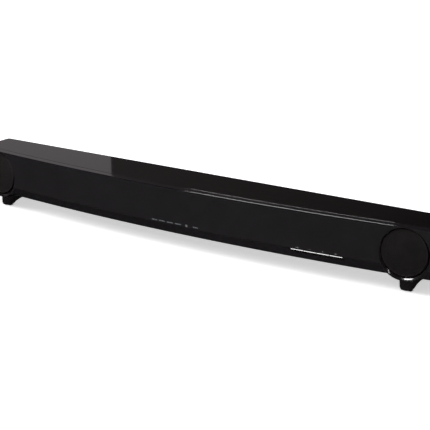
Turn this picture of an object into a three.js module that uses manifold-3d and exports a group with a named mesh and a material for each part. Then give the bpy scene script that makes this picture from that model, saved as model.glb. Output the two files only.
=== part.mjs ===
// A slim soundbar with a bowed front, two round end speakers and a bass speaker that fires down.
// Millimetres. +X is to the right seen from the front, +Y goes back, +Z is up, and Z = 0 is
// where the stands rest. The front faces -Y.
import * as THREE from "three";
import { mergeVertices } from "three/addons/utils/BufferGeometryUtils.js";
import Module from "manifold-3d";

// ---- Driving dimensions ----

const LENGTH = 890;
const DEPTH = 104;
const HEIGHT = 98;
const BOW = 27.5; // how far the front stands forward at the middle
const BODY_BOTTOM = 18; // the stands lift the body this high
const CREASE_Z = 39; // below this the front slopes back at 45 degrees
const WALL = 2.5;
const TOP_THICKNESS = 1.8;
const STRIP_DEPTH = 13.1; // the front panel's own strip along the top
const END_THICKNESS = 3;
const SKIRT = 8; // the top panel's lip down the back
const GAP = 0.3; // between pieces that touch
const CHAMFER = 0.7;

const RING_X = 390.5; // speaker centres
const RING_Z = 59.5;
const DRUM_R = 42; // the round housing that shows below the crease
const TRIM_R = 38.5; // outer circle of the bevelled trim
const TRIM_DROP = 2.2; // that circle's centre is this far below the speaker's
const TRIM_BORE_R = 36;
const TRIM_DEPTH = 10;
const BEVEL_DEPTH = 4.5;
const GRILLE_R = 35.1;
const LEDGE = 2.5; // the ring that the driver is fixed behind
const LEDGE_BORE_R = 31.5;
const BOW_STEPS = 16; // flats that make up the bow

const STAND_X = 389; // stand centres
const STAND_WIDTH = 21;
const STAND_FRONT_Y = -19.5;
const STAND_REAR_Y = 49.5;
const STAND_NOSE = 3.5; // the toe's rounded front stands this far forward
const TOE = 9.5;
const ARCH_TOP = 7.3;
const SOLE_Z = 0.8; // the rubber pads lift the stand this high
const PAD_SIDE_INSET = 2;
const PAD_END_INSET = 0.5;
const STAND_SCREW_Y = 16;
const STAND_SCREW_SEAT = 12;

const KEY_PITCH = 21.1;
const KEYS_X = 254.3; // middle of the key row
const KEY_HEIGHT = 7;
const KEY_PROUD = 1.6;
const KEY_FROM_CREASE = 4.7; // down the slope to the keys' centre line
const KEY_TRAVEL = 0.6;
const KEY_NAMES = ["input_key", "volume_down_key", "volume_up_key", "power_key"];

const KEY_SIDE_GAP = 0.25; // between a key and the next
const KEY_DEPTH = 2.8; // how far the key's block goes in
const KEY_STEM_DEPTH = 6;
const KEY_REST_GAP = 0.4; // left between a pressed key's stem and its switch

const MARK_Z = 41.8; // the lit marks stand just above the crease
const MARK_GAP = 0.15;
const MARKS = [
  { x: -36.2, width: 10, height: 1.5 },
  { x: -21.5, width: 11.5, height: 1.5 },
  { x: -5.8, width: 11.5, height: 1.5 },
  { x: 9.9, width: 11.5, height: 1.5 },
  { x: 26.2, width: 4, height: 4 },
  { x: 43.3, width: 9.5, height: 1.5 },
];
const LENS_X = [86, 125];
const LENS_R = 1.3;
const LENS_DOWN = 2.4; // from the crease down the slope

const RECESS = { x: 115, z: 50, width: 150, height: 36, depth: 14 };
const PORT = { x: -262, z: 58, bore: 15, flare: 19, length: 66 };
const BASS = { x: -165, y: 11.5 };
const BASS_SEAT_R = 35.5; // the ring on the base that the bass speaker is fixed to
const BASS_SLOTS = { count: 7, pitch: 8.4, half: 2, reach: 30 }; // the base is open under the speaker
const KEYHOLE = { x: 220, z: 72, entryR: 4.5, neckHalf: 1.9, drop: 8 }; // wall-hanging slots
const WALL_X = 330; // the walls that close off the end speakers' chambers
const BASS_WALL_X = -70;
const REAR_SCREW_X = [-340, 0, 340];
const REAR_SCREW_Z = 82;
const REAR_SCREW_SUNK = 2.6; // the heads sit this far below the surface

const BOARD_Z = 26; // underside of the two main circuit boards
const BOARD = 1.6;
const LEAD_Y = 45.5; // the speaker leads run along the back wall
const LEAD_Z = 48;
const LEAD_R = 1.5;
const LEAD_NOTCH = 8; // the chamber walls are notched this deep to let the lead by

const BOARDS = [
  { x0: 16, x1: 206, y0: -26, y1: 21 },
  { x0: 218, x1: 322, y0: -12, y1: 34 },
];
const POST = { inset: 6, radius: 3 }; // what the boards stand on
const AMPLIFIER = { x0: 84, x1: 104, y0: -15, y1: 5, height: 3 };
const COILS = { x: [140, 156, 172, 188], y: -12, radius: 5, height: 9 };
const CAPACITORS = { x: 234, y: [2, 24], radius: 9, height: 34 };
const RECTIFIER = { x0: 254, x1: 262, y0: -9, y1: 13, height: 12 };
const HEATSINK = { x0: 66, x1: 119, y0: -20, y1: 15, height: 38, plate: 4 };
const FIN_SLOTS = { count: 6, pitch: 8, width: 5, inset: 4 };
const CORE = { x0: 268, x1: 314, y0: -2, y1: 24, height: 38 };
const WINDING = { x0: 277, x1: 305, y0: -8, y1: 30, low: 7, high: 31 };

// The sockets on the recess floor: centre, size along X and Z, and how far each reaches inwards.
const JACKS = [
  { name: "optical_input_1", x: 112, z: 50, width: 14, height: 12, reach: 11 },
  { name: "optical_input_2", x: 134, z: 50, width: 14, height: 12, reach: 11 },
  { name: "ac_inlet", x: 168, z: 50, width: 26, height: 18, reach: 13 },
  { name: "analogue_input", x: 87, z: 50, width: 14, height: 30, reach: 11 },
  { name: "subwoofer_output", x: 62, z: 50, width: 14, height: 14, reach: 11 },
];

// The left lead passes behind the bass speaker and dips under the bass port.
const LEFT_LEAD = [
  [26, 12, BOARD_Z + 4],
  [18, 28, BOARD_Z + 6],
  [0, LEAD_Y, LEAD_Z],
  [-70, LEAD_Y, LEAD_Z],
  [-165, LEAD_Y, LEAD_Z],
  [-215, LEAD_Y, LEAD_Z - 6],
  [-240, LEAD_Y, LEAD_Z - 16],
  [-284, LEAD_Y, LEAD_Z - 16],
  [-310, LEAD_Y, LEAD_Z - 4],
  [-330, LEAD_Y, LEAD_Z],
  [-350, 36, 54],
  [-360, 5, RING_Z],
];
const RIGHT_LEAD = [
  [200, 12, BOARD_Z + 4],
  [206, 30, BOARD_Z + 8],
  [222, LEAD_Y, LEAD_Z],
  [280, LEAD_Y, LEAD_Z],
  [330, LEAD_Y, LEAD_Z],
  [350, 36, 54],
  [360, 5, RING_Z],
];

const HALF = LENGTH / 2;
const REAR_Y = DEPTH / 2;
const SLOPE = CREASE_Z - BODY_BOTTOM;
const INNER_TOP = HEIGHT - TOP_THICKNESS;
const FLOOR_Z = BODY_BOTTOM + WALL;
const BASS_FACE_Z = FLOOR_Z + 5;
const SHELL_HALF = HALF - END_THICKNESS - GAP;
const REAR_INNER = REAR_Y - WALL;
const REAR_SCREW_SEAT = REAR_Y - REAR_SCREW_SUNK;
const SEAT_BACK = TRIM_DEPTH + 0.6; // the trim's seat is a little deeper than the trim
const BOARD_TOP = BOARD_Z + BOARD;
const WALL_CUT = WALL * Math.SQRT2; // the sloping wall cut level
const INNER_CREASE = CREASE_Z + WALL * (Math.SQRT2 - 1);

const frontY = (x) => -REAR_Y + BOW * (x / HALF) ** 2;
const frontTurn = (x) => Math.atan((2 * BOW * x) / HALF ** 2);

// ---- Geometry helpers ----

const wasm = await Module();
wasm.setup();

// Shares vertices, drops faces that have no area, and turns the surface outwards.
function clean(geometry) {
  const bare = geometry.clone();
  bare.deleteAttribute("normal");
  bare.deleteAttribute("uv");
  const merged = mergeVertices(bare, 1e-4);
  const p = merged.attributes.position;
  const at = (i) => new THREE.Vector3().fromBufferAttribute(p, i);
  const faces = [];
  let volume = 0;
  for (let i = 0; i < merged.index.count; i += 3) {
    const [a, b, c] = [0, 1, 2].map((k) => merged.index.getX(i + k));
    if (a === b || b === c || a === c) continue;
    faces.push([a, b, c]);
    volume += at(a).dot(at(b).cross(at(c)));
  }
  const turned = volume < 0 ? faces.map(([a, b, c]) => [a, c, b]) : faces;
  return new THREE.BufferGeometry()
    .setAttribute("position", p)
    .setIndex(turned.flat());
}

function toSolid(geometry) {
  const shape = clean(geometry);
  return new wasm.Manifold(
    new wasm.Mesh({
      numProp: 3,
      vertProperties: new Float32Array(shape.attributes.position.array),
      triVerts: new Uint32Array(shape.index.array),
    }),
  );
}

function toGeometry(solid) {
  const mesh = solid.getMesh();
  return new THREE.BufferGeometry()
    .setAttribute("position", new THREE.BufferAttribute(mesh.vertProperties, 3))
    .setIndex(new THREE.BufferAttribute(mesh.triVerts, 1));
}

const join = (first, ...others) =>
  toGeometry(others.reduce((sum, g) => sum.add(toSolid(g)), toSolid(first)));
const cut = (first, ...tools) =>
  toGeometry(tools.reduce((rest, g) => rest.subtract(toSolid(g)), toSolid(first)));
const common = (first, second) => toGeometry(toSolid(first).intersect(toSolid(second)));

// A box from its lowest to its highest corner.
function box(x0, y0, z0, x1, y1, z1) {
  return new THREE.BoxGeometry(x1 - x0, y1 - y0, z1 - z0).translate(
    (x0 + x1) / 2,
    (y0 + y1) / 2,
    (z0 + z1) / 2,
  );
}

// A turned piece about the local Z axis. Each profile point is [radius, height].
function turned(profile, segments = 24) {
  const points = profile.map(([r, h]) => new THREE.Vector2(r, h));
  const first = profile[0];
  const last = profile[profile.length - 1];
  if (first[0] > 0 || last[0] > 0) points.push(new THREE.Vector2(...first));
  return new THREE.LatheGeometry(points, segments).rotateX(Math.PI / 2);
}

// A cylinder along the local Z axis, from one height to another.
function disc(radius, from, to, segments = 24) {
  return new THREE.CylinderGeometry(radius, radius, to - from, segments)
    .rotateX(Math.PI / 2)
    .translate(0, 0, (from + to) / 2);
}

// A closed solid from a [y, z] outline that may change along X.
function sweep(outlineAt, fromX, toX, steps) {
  const stations = Array.from({ length: steps + 1 }, (_, i) => {
    const x = fromX + ((toX - fromX) * i) / steps;
    return outlineAt(x).map(([y, z]) => [x, y, z]);
  });
  const count = stations[0].length;
  const faces = [];
  for (let s = 0; s < steps; s++) {
    for (let j = 0; j < count; j++) {
      const [a, b] = [s * count + j, s * count + ((j + 1) % count)];
      faces.push([a, b, b + count], [a, b + count, a + count]);
    }
  }
  const outline = stations[0].map(([, y, z]) => new THREE.Vector2(y, z));
  const isClockwise = THREE.ShapeUtils.isClockWise(outline);
  const last = steps * count;
  for (const [a, b, c] of THREE.ShapeUtils.triangulateShape(outline, [])) {
    const turn = THREE.ShapeUtils.isClockWise([outline[a], outline[b], outline[c]]);
    const [p, q] = turn === isClockwise ? [b, c] : [c, b];
    faces.push([a, q, p], [last + a, last + p, last + q]);
  }
  return new THREE.BufferGeometry()
    .setAttribute("position", new THREE.Float32BufferAttribute(stations.flat(2), 3))
    .setIndex(faces.flat());
}

// A ring-shaped solid through circles given as {radius, drop, height}, in the local XY plane.
function ringThrough(circles, segments) {
  const positions = circles.flatMap(({ radius, drop, height }) =>
    Array.from({ length: segments }, (_, i) => {
      const angle = (2 * Math.PI * i) / segments;
      return [radius * Math.cos(angle), radius * Math.sin(angle) - drop, height];
    }).flat(),
  );
  const faces = [];
  for (let c = 0; c < circles.length; c++) {
    const next = ((c + 1) % circles.length) * segments;
    for (let i = 0; i < segments; i++) {
      const j = (i + 1) % segments;
      const [a, b] = [c * segments + i, c * segments + j];
      faces.push([a, b, next + j], [a, next + j, next + i]);
    }
  }
  return new THREE.BufferGeometry()
    .setAttribute("position", new THREE.Float32BufferAttribute(positions, 3))
    .setIndex(faces.flat());
}

// The frame of a speaker: local Z points out of the bowed front, and local Y is up.
function speakerFrame(side) {
  const x = side * RING_X;
  return new THREE.Matrix4()
    .makeTranslation(x, frontY(x), RING_Z)
    .multiply(new THREE.Matrix4().makeRotationZ(frontTurn(x)))
    .multiply(new THREE.Matrix4().makeRotationX(Math.PI / 2));
}

// A frame on the sloping band under the crease: local Z points out of it, and local Y is up it.
function slopeFrame(x, fromCrease) {
  const down = fromCrease * Math.SQRT1_2;
  return new THREE.Matrix4()
    .makeTranslation(x, frontY(x) + down, CREASE_Z - down)
    .multiply(new THREE.Matrix4().makeRotationZ(frontTurn(x)))
    .multiply(new THREE.Matrix4().makeRotationX((3 * Math.PI) / 4));
}

// ---- Materials ----

const paint = (color, roughness, metalness = 0) =>
  new THREE.MeshStandardMaterial({ color, roughness, metalness });
const look = {
  gloss: paint(0x0b0a0b, 0.08),
  satin: paint(0x1c1b1c, 0.42),
  matte: paint(0x161617, 0.7),
  grille: paint(0x17130f, 0.6, 0.4),
  rubber: paint(0x101010, 0.9),
  clear: paint(0xd8dde2, 0.25),
  steel: paint(0x8d8f92, 0.35, 1),
  magnet: paint(0x2b2b2e, 0.6, 0.5),
  cone: paint(0x1b1a19, 0.8),
  copper: paint(0xb06a3a, 0.4, 0.9),
  board: paint(0x1f5a34, 0.5),
  aluminium: paint(0xb9bcc0, 0.4, 1),
  wire: paint(0x8c1d18, 0.6),
};

const soundbar = new THREE.Group();
soundbar.name = "soundbar";

function add(name, geometry, material, matrix = new THREE.Matrix4(), parent = soundbar) {
  const mesh = new THREE.Mesh(clean(geometry), material);
  mesh.name = name;
  matrix.decompose(mesh.position, mesh.quaternion, mesh.scale);
  parent.add(mesh);
}

// ---- Case ----

function topPanel() {
  const outline = (x) => {
    const y = frontY(x) + STRIP_DEPTH + GAP;
    return [
      [y, INNER_TOP],
      [y, HEIGHT],
      [REAR_Y - CHAMFER, HEIGHT],
      [REAR_Y, HEIGHT - CHAMFER],
      [REAR_Y, HEIGHT - SKIRT],
      [REAR_Y - 2.2, HEIGHT - SKIRT],
      [REAR_Y - 2.2, INNER_TOP],
    ];
  };
  return sweep(outline, -SHELL_HALF, SHELL_HALF, BOW_STEPS);
}

// The bowed front: a strip flush with the top, the upright face and the band that slopes under.
function frontPanel() {
  const outline = (x) => {
    const y = frontY(x);
    return [
      [y + STRIP_DEPTH, HEIGHT],
      [y + CHAMFER, HEIGHT],
      [y, HEIGHT - CHAMFER],
      [y, CREASE_Z],
      [y + SLOPE, BODY_BOTTOM],
      [y + SLOPE + WALL_CUT, BODY_BOTTOM],
      [y + WALL, INNER_CREASE],
      [y + WALL, INNER_TOP],
      [y + STRIP_DEPTH, INNER_TOP],
    ];
  };
  let panel = sweep(outline, -SHELL_HALF, SHELL_HALF, BOW_STEPS);
  const ledgeBack = SEAT_BACK + LEDGE;
  for (const side of [-1, 1]) {
    const frame = speakerFrame(side);
    const at = (geometry) => geometry.applyMatrix4(frame);
    const aboveBody = box(-500, -100, INNER_TOP - GAP, 500, 100, HEIGHT + 20);
    const drum = cut(at(disc(DRUM_R, -SLOPE - 1, 0, 40)), aboveBody);
    const trimSeat = disc(TRIM_R + GAP, -SEAT_BACK, 5, 40).translate(0, -TRIM_DROP, 0);
    panel = cut(
      join(panel, drum),
      at(trimSeat),
      at(disc(LEDGE_BORE_R, -SLOPE - 5, 0, 28)),
      at(disc(DRUM_R - 1.5, -SLOPE - 5, -ledgeBack, 32)),
    );
  }
  for (const mark of MARKS) {
    const [x, y] = [mark.x, frontY(mark.x)];
    const w = mark.width / 2 + MARK_GAP;
    const h = mark.height / 2 + MARK_GAP;
    panel = cut(panel, box(x - w, y - 2, MARK_Z - h, x + w, y + 4, MARK_Z + h));
  }
  for (const x of LENS_X) {
    panel = cut(panel, disc(LENS_R + MARK_GAP, -6, 3, 10).applyMatrix4(slopeFrame(x, LENS_DOWN)));
  }
  const slotHeight = KEY_HEIGHT / 2 + GAP;
  const slotHalf = KEY_PITCH / 2 + 0.1; // neighbouring slots join into one
  for (const x of keyCentres()) {
    const slot = box(-slotHalf, -slotHeight, -6, slotHalf, slotHeight, 3);
    panel = cut(panel, slot.applyMatrix4(slopeFrame(x, KEY_FROM_CREASE)));
  }
  return panel;
}

function endCap(side) {
  const outline = (x) => {
    const y = frontY(x);
    return [
      [y + CHAMFER, HEIGHT],
      [y, HEIGHT - CHAMFER],
      [y, CREASE_Z],
      [y + SLOPE, BODY_BOTTOM],
      [REAR_Y, BODY_BOTTOM],
      [REAR_Y, HEIGHT - CHAMFER],
      [REAR_Y - CHAMFER, HEIGHT],
    ];
  };
  const [inner, outer] = [side * (HALF - END_THICKNESS), side * HALF];
  return sweep(outline, Math.min(inner, outer), Math.max(inner, outer), 1);
}

// The back wall, with a tray for the sockets, the bass port's hole and two wall-hanging slots.
function rearCover() {
  const { x, z, width, height, depth } = RECESS;
  const [w, h] = [width / 2, height / 2];
  const floorY = REAR_Y - depth;
  const wall = box(-SHELL_HALF, REAR_INNER, BODY_BOTTOM, SHELL_HALF, REAR_Y, HEIGHT - SKIRT - GAP);
  const tray = box(x - w - 2, floorY - 2, z - h - 2, x + w + 2, REAR_Y - 0.5, z + h + 2);
  const hollow = box(x - w, floorY, z - h, x + w, REAR_Y + 5, z + h);
  const upright = (g) => g.rotateX(Math.PI / 2);
  const holes = [
    hollow,
    upright(disc(PORT.flare + GAP, -60, -40, 24)).translate(PORT.x, 0, PORT.z),
    ...JACKS.map((jack) => jackBox(jack, GAP, floorY - 4, floorY + 4)),
  ];
  const bosses = [];
  for (const side of [-1, 1]) {
    const x = side * KEYHOLE.x;
    const [low, top] = [KEYHOLE.z - KEYHOLE.drop, KEYHOLE.z];
    const entry = upright(disc(KEYHOLE.entryR, -60, -40, 12)).translate(x, 0, low);
    holes.push(entry, box(x - KEYHOLE.neckHalf, 40, low, x + KEYHOLE.neckHalf, 60, top));
  }
  for (const screwX of REAR_SCREW_X) {
    const at = (geometry) => upright(geometry).translate(screwX, 0, REAR_SCREW_Z);
    bosses.push(at(disc(5.4, -REAR_INNER - 0.5, -REAR_SCREW_SEAT + 4, 12)));
    holes.push(at(disc(1.8, -60, -40, 10)), at(disc(3.8, -60, -REAR_SCREW_SEAT, 12)));
  }
  return cut(join(wall, tray, ...bosses), ...holes);
}

// The base, with the posts that carry the boards and the slots that the bass speaker fires through.
function bottomCover() {
  const rear = REAR_INNER - GAP;
  const outline = (x) => {
    const y = frontY(x) + SLOPE + WALL_CUT + GAP;
    return [
      [y, BODY_BOTTOM],
      [rear, BODY_BOTTOM],
      [rear, FLOOR_Z],
      [y, FLOOR_Z],
    ];
  };
  const post = (x, y) => disc(POST.radius, FLOOR_Z - 1, BOARD_Z - GAP, 8).translate(x, y, 0);
  const posts = BOARDS.flatMap(({ x0, x1, y0, y1 }) =>
    [x0 + POST.inset, x1 - POST.inset].flatMap((x) =>
      [y0 + POST.inset, y1 - POST.inset].map((y) => post(x, y)),
    ),
  );
  const { count, pitch, half } = BASS_SLOTS;
  const slots = Array.from({ length: count }, (_, i) => {
    const x = BASS.x + (i - (count - 1) / 2) * pitch;
    const reach = Math.sqrt(BASS_SLOTS.reach ** 2 - (x - BASS.x) ** 2);
    return box(x - half, BASS.y - reach, BODY_BOTTOM - 3, x + half, BASS.y + reach, FLOOR_Z + 3);
  });
  const screwHoles = [-1, 1].map((side) =>
    disc(1.8, BODY_BOTTOM - 3, FLOOR_Z + 3, 10).translate(side * STAND_X, STAND_SCREW_Y, 0),
  );
  const base = sweep(outline, -SHELL_HALF, SHELL_HALF, BOW_STEPS);
  const seat = disc(BASS_SEAT_R, FLOOR_Z - 1, BASS_FACE_Z - GAP, 32).translate(BASS.x, BASS.y, 0);
  const seatBore = disc(LEDGE_BORE_R, FLOOR_Z, BASS_FACE_Z + 1, 32).translate(BASS.x, BASS.y, 0);
  return cut(join(cut(join(base, seat), seatBore), ...posts), ...slots, ...screwHoles);
}

// A wall across the case that closes off a speaker's chamber. A notch at the back lets the lead by.
function chamberWall(x) {
  const outline = (at) => {
    const y = frontY(at) + WALL + GAP;
    const [low, back] = [FLOOR_Z + GAP, REAR_INNER - GAP];
    return [
      [y, INNER_TOP - GAP],
      [y, INNER_CREASE + GAP],
      [y + INNER_CREASE + GAP - low, low],
      [back, low],
      [back, LEAD_Z - LEAD_NOTCH / 2],
      [back - LEAD_NOTCH, LEAD_Z - LEAD_NOTCH / 2],
      [back - LEAD_NOTCH, LEAD_Z + LEAD_NOTCH / 2],
      [back, LEAD_Z + LEAD_NOTCH / 2],
      [back, INNER_TOP - GAP],
    ];
  };
  return sweep(outline, x - WALL / 2, x + WALL / 2, 1);
}

// ---- Speakers ----

// The bevel is a crescent: hardly there at the top and widest at the bottom.
function ringTrim() {
  const outer = { radius: TRIM_R, drop: TRIM_DROP };
  const bore = { radius: TRIM_BORE_R, drop: 0.1 };
  return ringThrough(
    [
      { ...outer, height: -0.1 },
      { ...bore, height: -BEVEL_DEPTH },
      { ...bore, height: -TRIM_DEPTH },
      { ...outer, height: -TRIM_DEPTH },
    ],
    40,
  );
}

// A shallow domed dish whose skirt stands on the ledge behind the trim.
const grille = () =>
  turned(
    [
      [0, -0.5],
      [20, -0.7],
      [GRILLE_R - 0.8, -1.2],
      [GRILLE_R, -2],
      [GRILLE_R, -TRIM_DEPTH - 0.3],
      [GRILLE_R - 1.2, -TRIM_DEPTH - 0.3],
      [GRILLE_R - 1.2, -2.6],
      [0, -1.8],
    ],
    32,
  );

// One moving-coil driver. The profiles run from the mounting face at height 0 down to the magnet.
function addDriver(prefix, frame) {
  const group = new THREE.Group();
  frame.decompose(group.position, group.quaternion, group.scale);
  soundbar.add(group);
  const still = new THREE.Matrix4();
  const basket = [
    [31.5, 0],
    [31.5, -9],
    [20.5, -21],
    [13.6, -21],
    [13.6, -23],
    [21.5, -23],
    [34, -10],
    [36.5, -3],
    [36.5, 0],
  ];
  const magnet = [
    [0, -16],
    [11, -16],
    [11, -35],
    [13.4, -35],
    [13.4, -23.3],
    [22, -23.3],
    [22, -38],
    [0, -38],
  ];
  const cone = [
    [25, -2.2],
    [25, -3.2],
    [12.6, -12.5],
    [12.6, -25],
    [11.8, -25],
    [11.8, -11.5],
    [23.5, -2.2],
  ];
  const dustCap = [
    [0, -4.6],
    [6, -5.4],
    [11, -7.6],
    [13.5, -9.6],
    [12.4, -9.6],
    [10.4, -8.4],
    [5.6, -6.4],
    [0, -5.6],
  ];
  const surround = [
    [25.3, -1.2],
    [26.2, 0.4],
    [28, 1.1],
    [29.8, 0.4],
    [31.1, -1.2],
    [31.1, -2.4],
    [29.8, -1.2],
    [28, -0.3],
    [26.2, -1.2],
    [25.3, -3],
  ];
  add(prefix + "_basket", turned(basket, 20), look.matte, still, group);
  add(prefix + "_magnet", turned(magnet, 20), look.magnet, still, group);
  add(prefix + "_cone", turned(cone, 20), look.cone, still, group);
  add(prefix + "_dust_cap", turned(dustCap, 16), look.matte, still, group);
  add(prefix + "_surround", turned(surround, 20), look.rubber, still, group);
}

function portTube() {
  const { bore, flare, length } = PORT;
  return turned(
    [
      [flare, 0],
      [flare, -2],
      [bore + 2, -10],
      [bore + 2, -length],
      [bore, -length],
      [bore, -9],
      [flare - 1.6, 0],
    ],
    20,
  );
}

// ---- Stands ----

// An arched foot with a toe at the front and at the back.
function stand() {
  const [front, rear] = [STAND_FRONT_Y, STAND_REAR_Y];
  const [start, end] = [front + TOE, rear - TOE];
  const arch = Array.from({ length: 11 }, (_, i) => {
    const t = i / 10;
    return [start + (end - start) * t, SOLE_Z + (ARCH_TOP - SOLE_Z) * 4 * t * (1 - t)];
  });
  const drumRear = frontY(RING_X) + SLOPE + 2;
  const drumBottom = RING_Z - DRUM_R - GAP;
  const outline = () => [
    [front, drumBottom],
    [front, SOLE_Z],
    ...arch,
    [rear, SOLE_Z],
    [rear, BODY_BOTTOM - GAP],
    [drumRear, BODY_BOTTOM - GAP],
    [drumRear, drumBottom],
  ];
  const half = STAND_WIDTH / 2;
  const radius = (half ** 2 + STAND_NOSE ** 2) / (2 * STAND_NOSE);
  const round = disc(radius, SOLE_Z, drumBottom, 36).translate(0, front - STAND_NOSE + radius, 0);
  const nose = common(round, box(-half, front - 10, 0, half, front + 0.5, 30));
  const screwHole = disc(1.8, 0, 30, 10).translate(0, STAND_SCREW_Y, 0);
  const screwHead = disc(4, 0, STAND_SCREW_SEAT, 12).translate(0, STAND_SCREW_Y, 0);
  return cut(join(sweep(outline, -half, half, 1), nose), screwHole, screwHead);
}

// A thin rubber pad under the toe that starts at the given depth.
function pad(toeY) {
  const half = STAND_WIDTH / 2 - PAD_SIDE_INSET;
  const [y0, y1] = [toeY + PAD_END_INSET, toeY + TOE - PAD_END_INSET];
  return box(-half, y0, 0, half, y1, SOLE_Z - GAP);
}

// A screw with a domed head, pointing up the local Z axis from its seat at height 0.
const screw = (length, headR) =>
  turned(
    [
      [0, -2],
      [headR * 0.7, -1.8],
      [headR, -0.3],
      [headR, 0],
      [1.5, 0],
      [1.5, length],
      [0, length],
    ],
    10,
  );

// ---- Keys, marks and lenses ----

function keyCentres() {
  return KEY_NAMES.map((_, i) => KEYS_X + (i - (KEY_NAMES.length - 1) / 2) * KEY_PITCH);
}

// A bar-shaped key with the stem that reaches its switch.
function key() {
  const [w, h] = [KEY_PITCH / 2 - KEY_SIDE_GAP, KEY_HEIGHT / 2];
  const stem = box(-1.5, -1.5, -KEY_STEM_DEPTH, 1.5, 1.5, 0.3 - KEY_DEPTH);
  return join(box(-w, -h, -KEY_DEPTH, w, h, KEY_PROUD), stem);
}

// The circuit board behind the keys, with one push switch under each stem.
function keyBoard() {
  const switchHeight = 3;
  const boardTop = -KEY_STEM_DEPTH - KEY_TRAVEL - KEY_REST_GAP - switchHeight;
  const half = (KEY_PITCH * KEY_NAMES.length) / 2 + 3;
  const board = box(-half, -11, boardTop - BOARD, half, 7, boardTop);
  const switches = keyCentres().map((x) =>
    box(x - KEYS_X - 3, -3, boardTop - 0.5, x - KEYS_X + 3, 3, boardTop + switchHeight),
  );
  return join(board, ...switches);
}

// The clear bar that carries light to the marks, one prong to each.
function lightGuide() {
  const barY = frontY(0) + WALL + 1.2;
  const bar = box(-45, barY, MARK_Z - 2.5, 52, barY + 3, MARK_Z + 2.5);
  const prongs = MARKS.map(({ x, width, height }) => {
    const [w, h] = [width / 2, height / 2];
    return box(x - w, frontY(x) + 0.1, MARK_Z - h, x + w, barY + 1, MARK_Z + h);
  });
  return join(bar, ...prongs);
}

function indicatorBoard() {
  const y = frontY(0) + WALL + 6.5;
  const lamps = MARKS.map(({ x }) =>
    box(x - 1.5, y - 1.6, MARK_Z - 1.5, x + 1.5, y + 0.5, MARK_Z + 1.5),
  );
  return join(box(-50, y, MARK_Z - 4, 60, y + BOARD, MARK_Z + 14), ...lamps);
}

// ---- Electronics ----

function jackBox({ x, z, width, height }, margin, y0, y1) {
  const [w, h] = [width / 2 + margin, height / 2 + margin];
  return box(x - w, y0, z - h, x + w, y1, z + h);
}

const towardsRear = (geometry, x, z) => geometry.rotateX(-Math.PI / 2).translate(x, 0, z);

// A phono socket's metal sleeve with the hole for the plug's pin.
function phonoSleeve(x, z, floorY) {
  const sleeve = cut(disc(4.2, 0, 9, 14), disc(1.7, 1, 12, 10));
  return towardsRear(sleeve, x, z).translate(0, floorY, 0);
}

function jack(spec) {
  const floorY = REAR_Y - RECESS.depth;
  const block = jackBox(spec, 0, floorY - 2 - spec.reach, floorY + 1);
  const { name, x, z } = spec;
  if (name === "ac_inlet") {
    return cut(block, box(x - 9, floorY - 10, z - 4, x + 9, floorY + 5, z + 4));
  }
  if (name.startsWith("optical")) {
    return cut(block, box(x - 3.5, floorY + 0.4, z - 3.5, x + 3.5, floorY + 5, z + 3.5));
  }
  const offsets = name === "analogue_input" ? [-8, 8] : [0];
  return join(block, ...offsets.map((dz) => phonoSleeve(x, z + dz, floorY + 0.5)));
}

function circuitBoard({ x0, x1, y0, y1 }) {
  return box(x0, y0, BOARD_Z, x1, y1, BOARD_Z + BOARD);
}

// A block-shaped component whose foot is sunk a little into its board.
const fitted = ({ x0, x1, y0, y1, height }) =>
  box(x0, y0, BOARD_TOP - 0.5, x1, y1, BOARD_TOP + height);

// The amplifier's board carries its chip and a row of coils.
function mainBoard() {
  const { radius, height } = COILS;
  const coils = COILS.x.map((x) =>
    disc(radius, BOARD_TOP - 0.5, BOARD_TOP + height, 12).translate(x, COILS.y, 0),
  );
  return join(circuitBoard(BOARDS[0]), fitted(AMPLIFIER), ...coils);
}

function powerBoard() {
  const { radius, height } = CAPACITORS;
  const capacitors = CAPACITORS.y.map((y) =>
    disc(radius, BOARD_TOP - 0.5, BOARD_TOP + height, 16).translate(CAPACITORS.x, y, 0),
  );
  return join(circuitBoard(BOARDS[1]), ...capacitors, fitted(RECTIFIER));
}

// A slotted block of cooling fins standing on the amplifier chip.
function heatsink() {
  const { x0, x1, y0, y1, height, plate } = HEATSINK;
  const base = BOARD_TOP + AMPLIFIER.height + GAP;
  const slots = Array.from({ length: FIN_SLOTS.count }, (_, i) => {
    const x = x0 + FIN_SLOTS.inset + i * FIN_SLOTS.pitch;
    return box(x, y0 - 5, base + plate, x + FIN_SLOTS.width, y1 + 5, base + height + 5);
  });
  return cut(box(x0, y0, base, x1, y1, base + height), ...slots);
}

// A laminated core with its winding round the middle limb.
function transformer() {
  const base = BOARD_TOP + GAP;
  const core = box(CORE.x0, CORE.y0, base, CORE.x1, CORE.y1, base + CORE.height);
  const { x0, x1, y0, y1, low, high } = WINDING;
  return join(core, box(x0, y0, base + low, x1, y1, base + high));
}

// The lead from the main board to a front speaker, as one round tube.
function speakerLead(points) {
  const path = new THREE.CatmullRomCurve3(
    points.map((p) => new THREE.Vector3(...p)),
    false,
    "centripetal",
  );
  const section = new THREE.Shape(
    Array.from({ length: 8 }, (_, i) => {
      const angle = (i * Math.PI) / 4;
      return new THREE.Vector2(LEAD_R * Math.cos(angle), LEAD_R * Math.sin(angle));
    }),
  );
  return new THREE.ExtrudeGeometry(section, { extrudePath: path, steps: 26 });
}

// ---- Assembly ----

const moved = (x, y, z) => new THREE.Matrix4().makeTranslation(x, y, z);
const tilted = (angle) => new THREE.Matrix4().makeRotationX(angle);

add("top_panel", topPanel(), look.gloss);
add("front_panel", frontPanel(), look.satin);
add("rear_cover", rearCover(), look.matte);
add("bottom_cover", bottomCover(), look.matte);

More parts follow.
